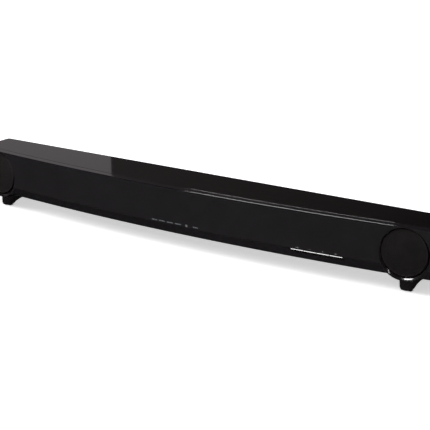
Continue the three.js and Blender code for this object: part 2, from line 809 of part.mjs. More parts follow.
for (const [side, word] of [
  [-1, "left"],
  [1, "right"],
]) {
  const frame = speakerFrame(side);
  const behindLedge = moved(0, 0, -SEAT_BACK - LEDGE - GAP);
  add(word + "_end_cap", endCap(side), look.satin);
  add(word + "_ring_trim", ringTrim(), look.gloss, frame);
  add(word + "_driver_grille", grille(), look.grille, frame);
  addDriver(word + "_driver", frame.clone().multiply(behindLedge));
  const under = moved(side * STAND_X, 0, 0);
  const screwSeat = moved(side * STAND_X, STAND_SCREW_Y, STAND_SCREW_SEAT - GAP);
  add(word + "_stand", stand(), look.gloss, under);
  add(word + "_stand_screw", screw(14, 3.4), look.steel, screwSeat);
  add(word + "_front_pad", pad(STAND_FRONT_Y), look.rubber, under);
  add(word + "_rear_pad", pad(STAND_REAR_Y - TOE), look.rubber, under);
  add(word + "_chamber_wall", chamberWall(side * WALL_X), look.matte);
}
add("bass_chamber_wall", chamberWall(BASS_WALL_X), look.matte);

const facingBack = moved(PORT.x, REAR_Y, PORT.z).multiply(tilted(-Math.PI / 2));
add("bass_port", portTube(), look.matte, facingBack);
const facingDown = moved(BASS.x, BASS.y, BASS_FACE_Z).multiply(tilted(Math.PI));
addDriver("bass_driver", facingDown);

KEY_NAMES.forEach((name, i) => {
  add(name, key(), look.gloss, slopeFrame(keyCentres()[i], KEY_FROM_CREASE));
});
add("key_board", keyBoard(), look.board, slopeFrame(KEYS_X, KEY_FROM_CREASE));
add("indicator_light_guide", lightGuide(), look.clear);
add("indicator_board", indicatorBoard(), look.board);
["remote_lens", "status_lens"].forEach((name, i) => {
  add(name, disc(LENS_R, -5, -0.1, 10), look.clear, slopeFrame(LENS_X[i], LENS_DOWN));
});

add("main_board", mainBoard(), look.board);
add("amplifier_heatsink", heatsink(), look.aluminium);
add("power_board", powerBoard(), look.board);
add("power_transformer", transformer(), look.steel);
add("left_speaker_lead", speakerLead(LEFT_LEAD), look.wire);
add("right_speaker_lead", speakerLead(RIGHT_LEAD), look.wire);
for (const spec of JACKS) add(spec.name, jack(spec), look.matte);
REAR_SCREW_X.forEach((x, i) => {
  const name = ["left", "middle", "right"][i] + "_rear_screw";
  const seat = moved(x, REAR_SCREW_SEAT + GAP, REAR_SCREW_Z).multiply(tilted(Math.PI / 2));
  add(name, screw(9, 3.2), look.steel, seat);
});

export default soundbar;
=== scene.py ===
"""A slim black soundbar with a bowed front, two round end speakers and arched stands.

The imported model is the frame. Dimensions below are in millimetres; every mesh is scaled to
metres when it is put on its body. +X is to the right, the front faces -Y and +Z is up.
"""

import math

import bmesh
import bpy
from mathutils import Matrix, Vector
from mathutils.geometry import delaunay_2d_cdt

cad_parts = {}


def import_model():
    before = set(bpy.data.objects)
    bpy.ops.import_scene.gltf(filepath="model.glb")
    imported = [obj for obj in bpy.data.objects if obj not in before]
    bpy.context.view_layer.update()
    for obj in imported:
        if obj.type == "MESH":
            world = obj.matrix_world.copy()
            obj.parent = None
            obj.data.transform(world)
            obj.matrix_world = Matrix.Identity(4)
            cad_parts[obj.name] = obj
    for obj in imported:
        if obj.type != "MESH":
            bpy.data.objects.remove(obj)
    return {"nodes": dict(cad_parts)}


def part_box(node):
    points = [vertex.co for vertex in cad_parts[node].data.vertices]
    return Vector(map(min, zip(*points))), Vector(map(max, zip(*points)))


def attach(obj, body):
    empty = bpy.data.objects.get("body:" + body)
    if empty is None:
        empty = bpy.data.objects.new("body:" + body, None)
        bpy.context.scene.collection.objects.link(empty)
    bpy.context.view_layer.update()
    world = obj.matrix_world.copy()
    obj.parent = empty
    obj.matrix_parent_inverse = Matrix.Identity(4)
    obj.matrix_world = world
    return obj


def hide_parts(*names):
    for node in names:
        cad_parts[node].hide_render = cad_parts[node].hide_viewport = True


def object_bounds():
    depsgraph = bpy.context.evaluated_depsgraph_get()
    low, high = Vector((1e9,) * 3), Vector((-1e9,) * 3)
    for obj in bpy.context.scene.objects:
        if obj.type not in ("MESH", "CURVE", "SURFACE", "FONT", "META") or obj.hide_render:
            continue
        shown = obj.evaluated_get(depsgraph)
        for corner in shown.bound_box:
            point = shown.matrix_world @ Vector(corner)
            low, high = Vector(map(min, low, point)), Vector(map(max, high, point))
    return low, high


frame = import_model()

MM = 0.001
CAD_LOW, CAD_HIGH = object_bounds()

# ---- Dimensions, the same as the frame's ----

HALF = CAD_HIGH.x / MM
REAR_Y = CAD_HIGH.y / MM
HEIGHT = CAD_HIGH.z / MM
BOW = 27.5
BODY_BOTTOM = 18.0
CREASE_Z = 39.0
WALL = 2.5
TOP_THICKNESS = 1.8
STRIP_DEPTH = 13.1
SKIRT = 8.0
GAP = 0.3
SHELL_HALF = HALF - 3.3
SLOPE = CREASE_Z - BODY_BOTTOM
INNER_TOP = HEIGHT - TOP_THICKNESS
FLOOR_Z = BODY_BOTTOM + WALL
REAR_INNER = REAR_Y - WALL

RING_X, RING_Z = 390.5, 59.5
DRUM_R = 42.0
TRIM_R, TRIM_DROP, TRIM_BORE_R = 38.5, 2.2, 36.0
TRIM_DEPTH, BEVEL_DEPTH = 10.0, 4.5
GRILLE_R = 35.1
LEDGE, LEDGE_BORE_R = 2.5, 31.5

STAND_X, STAND_HALF = 389.0, 10.5
STAND_FRONT_Y, STAND_REAR_Y = -19.5, 49.5
STAND_NOSE, TOE, ARCH_TOP, SOLE_Z = 3.5, 9.5, 7.3, 0.8
STAND_SCREW_Y, SCREW_SEAT_Z = 16.0, 12.0

KEYS = ["input_key", "volume_down_key", "volume_up_key", "power_key"]
KEY_PITCH, KEYS_X, KEY_HEIGHT, KEY_PROUD, KEY_FROM_CREASE = 21.1, 254.3, 7.0, 1.6, 4.7
MARK_Z = 41.8
# x of the middle, width and height of each lit mark
MARKS = [
    (-36.2, 10, 1.5),
    (-21.5, 11.5, 1.5),
    (-5.8, 11.5, 1.5),
    (9.9, 11.5, 1.5),
    (26.2, 4, 4),
    (43.3, 9.5, 1.5),
]
LENSES = [("remote_lens", 86.0), ("status_lens", 125.0)]
LENS_R, LENS_DOWN = 1.3, 2.4

RECESS_X, RECESS_Z, RECESS_HALF_W, RECESS_HALF_H, RECESS_DEPTH = 115.0, 50.0, 75.0, 18.0, 14.0
PORT_X, PORT_Z, PORT_BORE, PORT_FLARE, PORT_LENGTH = -262.0, 58.0, 15.0, 19.0, 66.0
BASS_X, BASS_Y, BASS_SEAT_R, BASS_FACE_Z = -165.0, 11.5, 35.5, 25.5
KEYHOLE_X, KEYHOLE_Z = 220.0, 72.0
REAR_SCREWS = [("left", -340.0), ("middle", 0.0), ("right", 340.0)]
REAR_SCREW_Z, REAR_SCREW_SEAT = 82.0, 49.4


def front_y(x):
    return -REAR_Y + BOW * (x / HALF) ** 2


def front_turn(x):
    return math.atan(2 * BOW * x / HALF**2)


def speaker_frame(side):
    """Local Z points out of the bowed front at a speaker's centre, and local Y is up."""
    x = side * RING_X
    turn = Matrix.Rotation(front_turn(x), 4, "Z")
    return Matrix.Translation((x, front_y(x), RING_Z)) @ turn @ Matrix.Rotation(math.pi / 2, 4, "X")


def slope_frame(x, from_crease):
    """Local Z points out of the sloping band under the crease, and local Y is up the band."""
    down = from_crease * math.sqrt(0.5)
    turn = Matrix.Rotation(front_turn(x), 4, "Z")
    tilt = Matrix.Rotation(3 * math.pi / 4, 4, "X")
    return Matrix.Translation((x, front_y(x) + down, CREASE_Z - down)) @ turn @ tilt


# ---- Mesh helpers, in millimetres ----


def new_object(name, points, faces):
    mesh = bpy.data.meshes.new(name)
    mesh.from_pydata([tuple(p) for p in points], [], faces)
    shape = bmesh.new()
    shape.from_mesh(mesh)
    bmesh.ops.recalc_face_normals(shape, faces=shape.faces)
    shape.to_mesh(mesh)
    shape.free()
    made = bpy.data.objects.new(name, mesh)
    bpy.context.scene.collection.objects.link(made)
    return made


def rounded(corners, steps=4):
    """A closed outline from (u, v, radius) corners, with each radius drawn as an arc."""
    outline = []
    count = len(corners)
    for i, (u, v, radius) in enumerate(corners):
        here = Vector((u, v))
        if radius == 0:
            outline.append(here)
            continue
        back = Vector(corners[i - 1][:2]) - here
        onward = Vector(corners[(i + 1) % count][:2]) - here
        half = back.angle(onward) / 2
        reach = min(radius / math.tan(half), back.length * 0.48, onward.length * 0.48)
        middle = (back.normalized() + onward.normalized()).normalized()
        centre = here + middle * reach / math.cos(half)
        start = here + back.normalized() * reach - centre
        end = here + onward.normalized() * reach - centre
        spread = start.angle(end)
        for step in range(steps + 1):
            t = step / steps
            pull, push = math.sin((1 - t) * spread), math.sin(t * spread)
            outline.append(centre + (start * pull + end * push) / math.sin(spread))
    return outline


def loft(name, rings, wrap=False):
    """A closed solid through rings of points, capped at both ends unless it wraps round."""
    size = len(rings[0])
    points = [p for ring in rings for p in ring]
    faces = []
    for k in range(len(rings) if wrap else len(rings) - 1):
        here, there = k * size, ((k + 1) % len(rings)) * size
        for i in range(size):
            j = (i + 1) % size
            faces.append((here + i, here + j, there + j, there + i))
    if not wrap:
        last = (len(rings) - 1) * size
        faces += [tuple(range(size)), tuple(last + i for i in range(size))]
    return new_object(name, points, faces)


def bow_sweep(name, outline, start=-SHELL_HALF, end=SHELL_HALF, steps=160, follows=lambda y: True):
    """Sweeps a (y, z) outline along the bow. Where follows(y) is false, a point stays straight."""
    rings = []
    for k in range(steps + 1):
        x = start + (end - start) * k / steps
        rings.append([(x, y + front_y(x) if follows(y) else y, z) for y, z in outline])
    return loft(name, rings)


def lathe(name, profile, segments=96):
    """Turns a closed (radius, height) profile about the Z axis. Points on the axis are shared."""
    points, rows = [], []
    for r, h in profile:
        on_axis = r < 1e-6
        rows.append((len(points), on_axis))
        for i in range(1 if on_axis else segments):
            angle = 2 * math.pi * i / segments
            points.append((r * math.cos(angle), r * math.sin(angle), h))
    faces = []
    for k, (here, here_axis) in enumerate(rows):
        there, there_axis = rows[(k + 1) % len(rows)]
        if here_axis and there_axis:
            continue
        for i in range(segments):
            j = (i + 1) % segments
            if here_axis:
                faces.append((here, there + j, there + i))
            elif there_axis:
                faces.append((here + i, here + j, there))
            else:
                faces.append((here + i, here + j, there + j, there + i))
    return new_object(name, points, faces)


def disc(radius, low, high, segments=96):
    return lathe("tool", [(0, low), (radius, low), (radius, high), (0, high)], segments)


def block(low, high):
    (x0, y0, z0), (x1, y1, z1) = low, high
    rings = [[(x, y0, z0), (x, y1, z0), (x, y1, z1), (x, y0, z1)] for x in (x0, x1)]
    return loft("tool", rings)


def moved(piece, matrix):
    piece.data.transform(matrix)
    return piece


def combine(target, operation, *tools):
    """Applies one exact boolean for each tool and removes the tools."""
    for tool in tools:
        step = target.modifiers.new("combine", "BOOLEAN")
        step.object, step.operation, step.solver = tool, operation, "EXACT"
        bpy.context.view_layer.update()
        shown = target.evaluated_get(bpy.context.evaluated_depsgraph_get())
        result = bpy.data.meshes.new_from_object(shown)
        target.modifiers.clear()
        target.data = result
        bpy.data.objects.remove(tool)
    return target


def joined(target, *others):
    """Adds the meshes of others to target."""
    shape = bmesh.new()
    shape.from_mesh(target.data)
    for other in others:
        shape.from_mesh(other.data)
        bpy.data.objects.remove(other)
    shape.to_mesh(target.data)
    shape.free()
    return target


def softened(piece, width=0.4, segments=2, angle=30):
    """Rounds the sharp edges of a piece by width millimetres."""
    edge = piece.modifiers.new("edges", "BEVEL")
    edge.width, edge.segments = width * MM, segments
    edge.limit_method, edge.angle_limit = "ANGLE", math.radians(angle)
    edge.harden_normals = True
    return piece


def cad_copy(node):
    """The node's own shape in millimetres, each flat area one face, ready for soft edges."""
    made = new_object(node + "_look", [], [])
    shape = bmesh.new()
    shape.from_mesh(frame["nodes"][node].data)
    bmesh.ops.remove_doubles(shape, verts=shape.verts, dist=1e-6)
    bmesh.ops.dissolve_limit(shape, angle_limit=math.radians(1), verts=shape.verts, edges=shape.edges)
    bmesh.ops.scale(shape, vec=(1 / MM,) * 3, verts=shape.verts)
    shape.to_mesh(made.data)
    shape.free()
    return made


def dress(piece, name, look, nodes=(), body="case", angle=32):
    """Scales a finished shape to metres, gives it its material and puts it on its body."""
    piece.name = name
    piece.data.transform(Matrix.Scale(MM, 4))
    piece.data.materials.clear()
    piece.data.materials.append(look)
    piece.data.shade_smooth()
    piece.data.set_sharp_from_angle(angle=math.radians(angle))
    flat = piece.modifiers.new("flat faces stay flat", "WEIGHTED_NORMAL")
    flat.keep_sharp, flat.weight = True, 100
    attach(piece, body)
    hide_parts(*nodes)
    return piece


# ---- Materials ----


class Look:
    """Builds one procedural material around a Principled shader."""

    def __init__(self, name, metallic=0.0, ior=1.5):
        self.material = bpy.data.materials.new(name)
        self.material.use_nodes = True
        self.nodes = self.material.node_tree.nodes
        self.shader = self.nodes["Principled BSDF"]
        self.shader.inputs["Metallic"].default_value = metallic
        self.shader.inputs["IOR"].default_value = ior
        self.place = self.nodes.new("ShaderNodeTexCoord").outputs["Object"]
        self.normal = None

    def link(self, source, target):
        self.material.node_tree.links.new(source, target)

    def noise(self, scale, detail=4.0, roughness=0.55, stretch=(1, 1, 1)):
        mapping = self.nodes.new("ShaderNodeMapping")
        mapping.inputs["Scale"].default_value = stretch
        self.link(self.place, mapping.inputs["Vector"])
        noise = self.nodes.new("ShaderNodeTexNoise")
        noise.inputs["Scale"].default_value = scale
        noise.inputs["Detail"].default_value = detail
        noise.inputs["Roughness"].default_value = roughness
        self.link(mapping.outputs["Vector"], noise.inputs["Vector"])
        return noise.outputs["Fac"]

    def cells(self, scale, stretch=(1, 1, 1)):
        mapping = self.nodes.new("ShaderNodeMapping")
        mapping.inputs["Scale"].default_value = stretch
        self.link(self.place, mapping.inputs["Vector"])
        cells = self.nodes.new("ShaderNodeTexVoronoi")
        cells.inputs["Scale"].default_value = scale
        self.link(mapping.outputs["Vector"], cells.inputs["Vector"])
        return cells.outputs["Distance"]

    def ranged(self, source, low, high, start=0.3, end=0.7):
        spread = self.nodes.new("ShaderNodeMapRange")
        sockets = ("From Min", "From Max", "To Min", "To Max")
        for socket, value in zip(sockets, (start, end, low, high)):
            spread.inputs[socket].default_value = value
        self.link(source, spread.inputs["Value"])
        return spread.outputs["Result"]

    def edges(self, low=0.53, high=0.6):
        """1 on convex edges, where handling polishes or rubs the finish."""
        geometry = self.nodes.new("ShaderNodeNewGeometry")
        return self.ranged(geometry.outputs["Pointiness"], 0, 1, low, high)

    def above(self, height):
        """1 over this height and 0 under it."""
        split = self.nodes.new("ShaderNodeSeparateXYZ")
        self.link(self.place, split.inputs["Vector"])
        return self.ranged(split.outputs["Z"], 0, 1, (height - 0.1) * MM, (height + 0.1) * MM)

    def mixed(self, factor, first, second):
        mix = self.nodes.new("ShaderNodeMix")
        mix.data_type = "RGBA"
        for socket, value in ((mix.inputs[6], first), (mix.inputs[7], second)):
            if isinstance(value, tuple):
                socket.default_value = (*value, 1)
            else:
                self.link(value, socket)
        self.link(factor, mix.inputs[0])
        return mix.outputs[2]

    def color(self, source):
        self.link(source, self.shader.inputs["Base Color"])
        return self

    def rough(self, source, low, high):
        self.link(self.ranged(source, low, high), self.shader.inputs["Roughness"])
        return self

    def bump(self, source, distance, strength=1.0):
        """Adds surface relief, distance millimetres deep."""
        bump = self.nodes.new("ShaderNodeBump")
        bump.inputs["Distance"].default_value = distance * MM
        bump.inputs["Strength"].default_value = strength
        self.link(source, bump.inputs["Height"])
        if self.normal:
            self.link(self.normal, bump.inputs["Normal"])
        self.normal = bump.outputs["Normal"]
        self.link(self.normal, self.shader.inputs["Normal"])
        return self


def moulded(name, dark, light, low, high, grain=900.0, depth=0.02, ior=1.5):
    """Moulded plastic: faint cloudy colour, uneven sheen and a fine grain."""
    look = Look(name, ior=ior)
    look.color(look.mixed(look.ranged(look.noise(14), 0, 1), dark, light))
    look.rough(look.noise(60, detail=6), low, high)
    look.bump(look.noise(grain, detail=3), depth)
    return look


GLOSS_TONES = (0.0044, 0.0035, 0.0038), (0.0058, 0.0049, 0.0052)
EASED_TONES = (0.0090, 0.0076, 0.0080), (0.0112, 0.0096, 0.0100)
SATIN_TONES = (0.0094, 0.0081, 0.0095), (0.0114, 0.0100, 0.0115)
GRILLE_TONES = (0.0072, 0.0040, 0.0042), (0.0124, 0.0076, 0.0078)
POLISHED_STRIP = 1.4


def gloss_black():
    """Polished black, with the slight orange peel of a lacquered panel."""
    look = moulded("gloss_black", *GLOSS_TONES, 0.03, 0.06, 120.0, 0.0015)
    look.bump(look.noise(25, detail=2), 0.004)
    return look.material


def eased_black():
    """The moulded gloss of the stands and the speaker rims, softer than the lid's."""
    return moulded("eased_black", *EASED_TONES, 0.10, 0.16, 600.0, 0.001).material


def satin_black():
    return moulded("satin_black", *SATIN_TONES, 0.31, 0.38, 1400.0, 0.006).material


def satin_front():
    """Satin on the upright face, and polished like the lid on the strip along the top."""
    look = moulded("satin_front", *SATIN_TONES, 0.31, 0.38, 1400.0, 0.0008)
    roughness = look.shader.inputs["Roughness"]
    satin = roughness.links[0].from_socket
    polished = look.ranged(look.noise(60, detail=6), 0.035, 0.075)
    look.link(look.mixed(look.above(HEIGHT - POLISHED_STRIP), satin, polished), roughness)
    return look.material


def matte_black():
    tones = (0.012, 0.012, 0.0125), (0.018, 0.018, 0.0185)
    look = moulded("matte_black", *tones, 0.58, 0.72, 500.0, 0.05)
    look.bump(look.cells(700), 0.06)
    return look.material


def grille_paint():
    """Warm black powder paint over perforated steel."""
    look = Look("grille_metal", metallic=0.25)
    look.color(look.mixed(look.ranged(look.noise(40), 0, 1), *GRILLE_TONES))
    look.rough(look.noise(300), 0.5, 0.62)
    look.bump(look.noise(1800), 0.01)
    return look.material


def rubber():
    look = moulded("rubber", (0.011, 0.011, 0.011), (0.02, 0.02, 0.019), 0.75, 0.9, 600.0, 0.05, 1.52)
    look.shader.inputs["Sheen Weight"].default_value = 0.15
    return look.material


def painted_steel():
    look = Look("basket_steel", metallic=0.6)
    look.color(look.mixed(look.edges(), (0.025, 0.025, 0.027), (0.09, 0.09, 0.09)))
    look.rough(look.noise(220), 0.32, 0.5)
    look.bump(look.noise(700), 0.02)
    return look.material


def ferrite():
    look = Look("magnet", metallic=0.3)
    look.color(look.mixed(look.ranged(look.noise(90), 0, 1), (0.035, 0.035, 0.04), (0.07, 0.07, 0.075)))
    look.rough(look.noise(260), 0.5, 0.75)
    look.bump(look.cells(1500), 0.04)
    return look.material


def cone_paper():
    """Pressed paper: matted fibres under a thin coating."""
    look = Look("cone_paper")
    fibres = look.noise(350, detail=8, stretch=(1, 1, 3))
    look.color(look.mixed(look.ranged(fibres, 0, 1), (0.014, 0.013, 0.012), (0.035, 0.032, 0.029)))
    look.rough(fibres, 0.6, 0.85)
    look.bump(fibres, 0.08)
    return look.material


def frosted_clear():
    look = Look("clear_plastic", ior=1.49)
    look.color(look.mixed(look.ranged(look.noise(120), 0, 1), (0.13, 0.13, 0.14), (0.19, 0.19, 0.2)))
    look.rough(look.noise(400), 0.22, 0.38)
    look.bump(look.noise(900), 0.01)
    look.shader.inputs["Transmission Weight"].default_value = 0.2
    look.shader.inputs["Subsurface Weight"].default_value = 0.2
    return look.material


def lens_plastic():
    """Smoky infra-red window plastic."""
    look = Look("lens_plastic", ior=1.52)
    smoke = (0.016, 0.006, 0.007), (0.03, 0.012, 0.012)
    look.color(look.mixed(look.ranged(look.noise(300), 0, 1), *smoke))
    look.rough(look.noise(500), 0.05, 0.12)
    look.bump(look.noise(900), 0.004)
    return look.material


def print_ink():
    look = Look("print_ink")
    look.color(look.mixed(look.ranged(look.noise(700), 0, 1), (0.30, 0.30, 0.31), (0.42, 0.42, 0.43)))
    look.rough(look.noise(900), 0.45, 0.6)
    look.bump(look.noise(2500), 0.005)
    return look.material


def circuit_board(name, top_z):
    """Green solder mask with faint tracks up to top_z metres, and dark parts standing above it."""
    look = Look(name)
    tracks = look.cells(260)
    mask = look.mixed(look.ranged(tracks, 0, 1, 0.3, 0.5), (0.012, 0.085, 0.034), (0.024, 0.14, 0.055))
    height = look.nodes.new("ShaderNodeSeparateXYZ")
    look.link(look.place, height.inputs["Vector"])
    above = look.ranged(height.outputs["Z"], 0, 1, top_z, top_z + 0.0001)
    parts = look.mixed(look.ranged(look.noise(90), 0, 1), (0.012, 0.012, 0.013), (0.04, 0.036, 0.03))
    look.color(look.mixed(above, mask, parts))
    look.rough(tracks, 0.3, 0.5)
    look.bump(tracks, 0.03)
    return look.material


def plain_board():
    """Green solder mask with copper tracks just under it."""
    look = Look("circuit_board")
    tracks = look.cells(320)
    greens = (0.012, 0.085, 0.034), (0.024, 0.14, 0.055)
    look.color(look.mixed(look.ranged(tracks, 0, 1, 0.3, 0.5), *greens))
    look.rough(tracks, 0.3, 0.5)
    look.bump(tracks, 0.03)
    return look.material


def aluminium():
    look = Look("heatsink_aluminium", metallic=1.0)
    draw = look.noise(500, stretch=(1, 1, 0.04))
    look.color(look.mixed(look.ranged(draw, 0, 1), (0.5, 0.51, 0.53), (0.66, 0.67, 0.69)))
    look.rough(draw, 0.28, 0.46)
    look.bump(draw, 0.02)
    return look.material


def zinc_steel():
    look = Look("steel", metallic=1.0)
    look.color(look.mixed(look.ranged(look.noise(150), 0, 1), (0.32, 0.32, 0.33), (0.46, 0.46, 0.45)))
    look.rough(look.noise(400), 0.25, 0.42)
    look.bump(look.noise(1200), 0.01)
    return look.material


def socket_black():
    tones = (0.012, 0.012, 0.013), (0.02, 0.02, 0.021)
    return moulded("socket_black", *tones, 0.3, 0.45, 700.0, 0.02).material


def socket_metal():
    look = Look("socket_metal", metallic=1.0)
    look.color(look.mixed(look.ranged(look.noise(200), 0, 1), (0.5, 0.49, 0.46), (0.68, 0.67, 0.64)))
    look.rough(look.noise(500), 0.18, 0.32)
    look.bump(look.noise(1500), 0.008)
    return look.material


def coloured_ring(name, dark, light):
    return moulded(name, dark, light, 0.35, 0.5, 800.0, 0.02).material


def lead_sheath():
    tones = (0.16, 0.014, 0.012), (0.24, 0.022, 0.018)
    return moulded("lead_sheath", *tones, 0.4, 0.55, 500.0, 0.03).material


GLOSS, SATIN, MATTE = gloss_black(), satin_black(), matte_black()
FRONT, EASED = satin_front(), eased_black()
GRILLE, RUBBER, BASKET, MAGNET = grille_paint(), rubber(), painted_steel(), ferrite()
PAPER, CLEAR, LENS, INK = cone_paper(), frosted_clear(), lens_plastic(), print_ink()
ALUMINIUM, STEEL, SOCKET, SHEATH = aluminium(), zinc_steel(), socket_black(), lead_sheath()
SOCKET_METAL, BOARD_GREEN = socket_metal(), plain_board()
RED_RING = coloured_ring("red_ring", (0.4, 0.02, 0.016), (0.5, 0.03, 0.022))
WHITE_RING = coloured_ring("white_ring", (0.62, 0.62, 0.6), (0.74, 0.74, 0.72))


# ---- Case ----


def top_panel():
    """The gloss lid: a fine radius at the seam and a larger one where it turns down the back."""
    start = STRIP_DEPTH + GAP
    limit = start + 1
    rear = REAR_Y
    corners = [
        (start, INNER_TOP, 0),
        (start, HEIGHT, 0.8),
        (rear, HEIGHT, 0.8),
        (rear, HEIGHT - SKIRT, 0.4),
        (rear - 2.2, HEIGHT - SKIRT, 0),
        (rear - 2.2, INNER_TOP, 0),
    ]
    outline = [(p.x, p.y) for p in rounded(corners, 5)]
    panel = bow_sweep("top_panel_look", outline, follows=lambda y: y < limit)
    return dress(panel, "top_panel_look", GLOSS, ["top_panel"], angle=25)


def key_centres():
    return [KEYS_X + (i - (len(KEYS) - 1) / 2) * KEY_PITCH for i in range(len(KEYS))]


def front_panel():
    wall_cut = WALL * math.sqrt(2)
    inner_crease = CREASE_Z + WALL * (math.sqrt(2) - 1)
    corners = [
        (STRIP_DEPTH, HEIGHT, 0.4),
        (0, HEIGHT, 1.2),
        (0, CREASE_Z, 0.8),
        (SLOPE, BODY_BOTTOM, 0.8),
        (SLOPE + wall_cut, BODY_BOTTOM, 0),
        (WALL, inner_crease, 0),
        (WALL, INNER_TOP, 0),
        (STRIP_DEPTH, INNER_TOP, 0),
    ]
    outline = [(p.x, p.y) for p in rounded(corners, 5)]
    panel = bow_sweep("front_panel_look", outline)
    set_back = 0.35
    for side in (-1, 1):
        place = speaker_frame(side)
        profile = [
            (0, -SLOPE - 1),
            (DRUM_R, -SLOPE - 1),
            (DRUM_R, -set_back - 0.6),
            (DRUM_R - 0.18, -set_back - 0.18),
            (DRUM_R - 0.6, -set_back),
            (0, -set_back),
        ]
        drum = moved(lathe("tool", profile, 128), place)
        above = block((-500, -100, INNER_TOP - GAP), (500, 100, HEIGHT + 20))
        combine(panel, "UNION", combine(drum, "DIFFERENCE", above))
        seat_depth = TRIM_DEPTH + 0.6
        seat = disc(TRIM_R + 0.15, -seat_depth, 5, 128)
        moved(seat, Matrix.Translation((0, -TRIM_DROP, 0)))
        tools = [
            seat,
            disc(DRUM_R - 1.5, -SLOPE - 5, -seat_depth - LEDGE),
            disc(LEDGE_BORE_R, -SLOPE - 7, 1, 80),
        ]
        combine(panel, "DIFFERENCE", *[moved(tool, place) for tool in tools])
    for x, width, height in MARKS:
        y, w, h = front_y(x), width / 2 + 0.12, height / 2 + 0.12
        combine(panel, "DIFFERENCE", block((x - w, y - 2, MARK_Z - h), (x + w, y + 4, MARK_Z + h)))
    for _, x in LENSES:
        hole = moved(disc(LENS_R + 0.12, -6, 3, 32), slope_frame(x, LENS_DOWN))
        combine(panel, "DIFFERENCE", hole)
    half_w, half_h = KEY_PITCH / 2 + 0.1, KEY_HEIGHT / 2 + GAP
    for x in key_centres():
        slot = block((-half_w, -half_h, -6), (half_w, half_h, 3))
        combine(panel, "DIFFERENCE", moved(slot, slope_frame(x, KEY_FROM_CREASE)))
    return dress(panel, "front_panel_look", FRONT, ["front_panel"], angle=28)


def end_cap(side, word):
    corners = [
        (0, HEIGHT, 0.9),
        (0, CREASE_Z, 0.8),
        (SLOPE, BODY_BOTTOM, 0.8),
        (REAR_Y, BODY_BOTTOM, 0.9),
        (REAR_Y, HEIGHT, 1.6),
    ]
    limit = REAR_Y - 3
    outline = [(p.x, p.y) for p in rounded(corners, 5)]
    inner, outer = side * (SHELL_HALF + GAP), side * HALF
    cap = bow_sweep("cap", outline, inner, outer, 1, follows=lambda y: y < limit)
    softened(cap, 0.7, 3, 60)
    dress(cap, word + "_end_cap_look", SATIN, [word + "_end_cap"])


def rear_cover():
    """The back wall with the socket tray, the port's hole, the hanging slots and screw pockets."""
    floor_y = REAR_Y - RECESS_DEPTH
    upright = Matrix.Rotation(math.pi / 2, 4, "X")
    wall = block((-SHELL_HALF, REAR_INNER, BODY_BOTTOM), (SHELL_HALF, REAR_Y, HEIGHT - SKIRT - GAP))
    w, h = RECESS_HALF_W, RECESS_HALF_H
    tray = block(
        (RECESS_X - w - 2, floor_y - 2, RECESS_Z - h - 2),
        (RECESS_X + w + 2, REAR_Y - 0.5, RECESS_Z + h + 2),
    )
    combine(wall, "UNION", tray)
    for _, x in REAR_SCREWS:
        boss = moved(disc(5.4, -REAR_INNER - 0.5, -REAR_SCREW_SEAT + 4, 48), upright)
        combine(wall, "UNION", moved(boss, Matrix.Translation((x, 0, REAR_SCREW_Z))))
    hollow = block(
        (RECESS_X - w, floor_y, RECESS_Z - h),
        (RECESS_X + w, REAR_Y + 5, RECESS_Z + h),
    )
    port = moved(disc(PORT_FLARE + GAP, -60, -40), upright)
    tools = [hollow, moved(port, Matrix.Translation((PORT_X, 0, PORT_Z)))]
    optical = ("optical_input_1", "optical_input_2")
    for name in (*optical, "ac_inlet", "analogue_input", "subwoofer_output"):
        low, high = (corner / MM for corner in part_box(name))
        near = (low.x - GAP, floor_y - 4, low.z - GAP)
        tools.append(block(near, (high.x + GAP, floor_y + 4, high.z + GAP)))
    for x in (-KEYHOLE_X, KEYHOLE_X):
        head = moved(disc(4.5, -60, -40, 48), upright)
        tools.append(moved(head, Matrix.Translation((x, 0, KEYHOLE_Z - 8))))
        tools.append(block((x - 1.9, 40, KEYHOLE_Z - 8), (x + 1.9, 60, KEYHOLE_Z)))
    for _, x in REAR_SCREWS:
        for radius, depth in ((1.8, -40), (3.8, -REAR_SCREW_SEAT)):
            hole = moved(disc(radius, -60, depth, 48), upright)
            tools.append(moved(hole, Matrix.Translation((x, 0, REAR_SCREW_Z))))
    combine(wall, "DIFFERENCE", *tools)
    softened(wall, 0.35, 2)
    dress(wall, "rear_cover_look", MATTE, ["rear_cover"])


